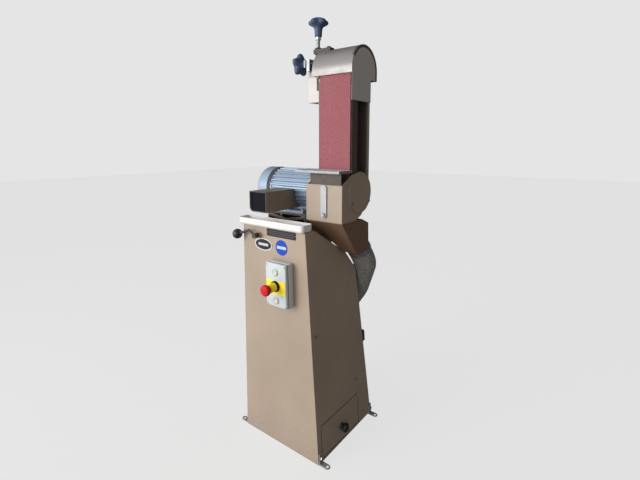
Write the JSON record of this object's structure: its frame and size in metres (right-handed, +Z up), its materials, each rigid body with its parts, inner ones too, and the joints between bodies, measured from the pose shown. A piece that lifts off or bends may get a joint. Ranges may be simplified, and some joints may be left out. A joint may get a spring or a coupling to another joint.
{
  "type": "pedestal belt grinder",
  "caption": "Floor-standing belt grinder: tapered steel pedestal with dust extractor and drawer, motor on top, and a belt arm that swings back about the drum.",
  "frame": {"origin": "on the floor at the centre of the four foot bolt holes", "axes": "+Z up, -Y towards the operator (front), +X towards the belt side"},
  "size_m": [0.447, 0.5282, 1.509],
  "materials": {
    "beige_paint": "satin enamel",
    "cream_paint": "satin enamel",
    "brown_paint": "satin enamel",
    "grey_hood": "satin metallic",
    "zinc": "bright zinc plate",
    "steel": "machined",
    "dark_steel": "black oxide",
    "motor_silver": "silver enamel",
    "aluminium": "cast and turned",
    "black_plastic": "matt moulded",
    "gloss_black": "glossy",
    "grey_plastic": "matt moulded",
    "red_plastic": "glossy moulded",
    "yellow_plastic": "satin moulded",
    "green_plastic": "glossy moulded",
    "blank_label": "printed film, blank",
    "rubber": "matt",
    "abrasive": "cloth-backed abrasive",
    "hose_fabric": "ribbed flexible duct",
    "filter_paper": "pleated filter paper",
    "copper_iron": "laminations and windings"
  },
  "bodies": {
    "pedestal": {"pedestal_shell": "beige_paint", "base_frame": "beige_paint", "foot_brackets": "beige_paint", "hex_bolts": "zinc", "rear_cover": "beige_paint", "panel_screws": "zinc", "top_tray": "cream_paint", "power_inlet": "black_plastic", "filter_plate": "zinc", "filter_cartridge": "filter_paper", "extractor_housing": "dark_steel", "extractor_motor": "motor_silver", "hopper": "brown_paint", "hopper_spigot": "brown_paint", "flexible_duct": "hose_fabric", "hose_clamps": "zinc", "label_plates": "blank_label", "switch_enclosure": "grey_plastic", "yellow_plate": "yellow_plastic", "motor_plinth": "beige_paint", "motor_housing": "motor_silver", "stator_core": "copper_iron", "drive_end_shield": "aluminium", "rear_end_shield": "aluminium", "motor_bearings": "steel", "fan_cowl": "motor_silver", "terminal_box": "beige_paint", "terminal_cover": "gloss_black", "housing_plate": "beige_paint", "clamp_ring": "steel", "front_box": "beige_paint", "drum_cover": "beige_paint"},
    "drawer": {"dust_drawer": "beige_paint", "drawer_knob": "black_plastic"},
    "shaker": {"shaker_lever": "steel", "lever_ball": "black_plastic"},
    "extractor": {"extractor_impeller": "black_plastic"},
    "estop": {"estop_button": "red_plastic"},
    "start": {"start_button": "green_plastic"},
    "stop": {"stop_button": "red_plastic"},
    "drive": {"rotor_shaft": "steel", "cooling_fan": "black_plastic", "drive_drum": "aluminium", "drum_tyre": "rubber"},
    "table": {"work_table": "steel", "table_bracket": "dark_steel", "clamp_strip": "zinc"},
    "arm": {"arm_plate": "beige_paint", "slide_housing": "cream_paint", "rear_guard": "beige_paint", "platen": "steel", "hood": "grey_hood", "tension_bridge": "dark_steel", "abrasive_belt": "abrasive"},
    "tension_slide": {"tension_yoke": "steel"},
    "tension_grip": {"tension_knob": "black_plastic"},
    "tracking": {"tracking_block": "steel"},
    "tracking_grip": {"tracking_knob": "black_plastic"},
    "idler": {"idler_wheel": "aluminium", "idler_bearings": "steel"}
  },
  "joints": [
    {"name": "drawer_slide", "type": "slide", "parent": "pedestal", "child": "drawer", "axis": [1, 0, 0], "range_m": [0, 0.25]},
    {"name": "filter_shaker", "type": "hinge", "parent": "pedestal", "child": "shaker", "pos_m": [-0.064, -0.219, 0.776], "axis": [0, 1, 0], "range_deg": [-25, 10]},
    {"name": "extractor_spin", "type": "hinge", "parent": "pedestal", "child": "extractor", "pos_m": [0.064, -0.06, 0.652], "axis": [1, 0, 0], "continuous": true},
    {"name": "estop_press", "type": "slide", "parent": "pedestal", "child": "estop", "axis": [0, 0.9995, 0.031], "range_m": [0, 0.006], "stiffness_N_per_m": 1200, "springref_m": -0.003},
    {"name": "start_press", "type": "slide", "parent": "pedestal", "child": "start", "axis": [0, 0.9995, 0.031], "range_m": [0, 0.003], "stiffness_N_per_m": 700, "springref_m": -0.002},
    {"name": "stop_press", "type": "slide", "parent": "pedestal", "child": "stop", "axis": [0, 0.9995, 0.031], "range_m": [0, 0.003], "stiffness_N_per_m": 700, "springref_m": -0.002},
    {"name": "drive_spin", "type": "hinge", "parent": "pedestal", "child": "drive", "pos_m": [0, -0.019, 0.925], "axis": [1, 0, 0], "continuous": true},
    {"name": "table_height", "type": "slide", "parent": "pedestal", "child": "table", "axis": [0, 0, 1], "range_m": [0, 0.03]},
    {"name": "arm_tilt", "type": "hinge", "parent": "pedestal", "child": "arm", "pos_m": [0.0916, -0.019, 0.925], "axis": [-1, 0, 0], "range_deg": [0, 90]},
    {"name": "belt_tension", "type": "slide", "parent": "arm", "child": "tension_slide", "axis": [0, 0, 1], "range_m": [-0.012, 0.002], "deforming": ["abrasive_belt"]},
    {"name": "tension_screw", "type": "hinge", "parent": "tension_slide", "child": "tension_grip", "pos_m": [0.056, -0.019, 1.4], "axis": [0, 0, 1], "range_deg": [-1445, 245]},
    {"name": "belt_tracking", "type": "hinge", "parent": "tension_slide", "child": "tracking", "pos_m": [0.056, -0.019, 1.334], "axis": [0, 0, 1], "range_deg": [-0.8, 0.8], "deforming": ["abrasive_belt"]},
    {"name": "tracking_screw", "type": "hinge", "parent": "tension_slide", "child": "tracking_grip", "pos_m": [0.02, -0.06, 1.352], "axis": [1, 0, 0], "range_deg": [-166, 166]},
    {"name": "idler_spin", "type": "hinge", "parent": "tracking", "child": "idler", "pos_m": [0.159, -0.019, 1.334], "axis": [1, 0, 0], "continuous": true}
  ],
  "couplings": [
    {"joint": "tension_screw", "follows": "belt_tension", "rad_per_m": 2094.4},
    {"joint": "tracking_screw", "follows": "belt_tracking", "ratio": -206.09},
    {"joint": "idler_spin", "follows": "drive_spin", "ratio": 1}
  ]
}
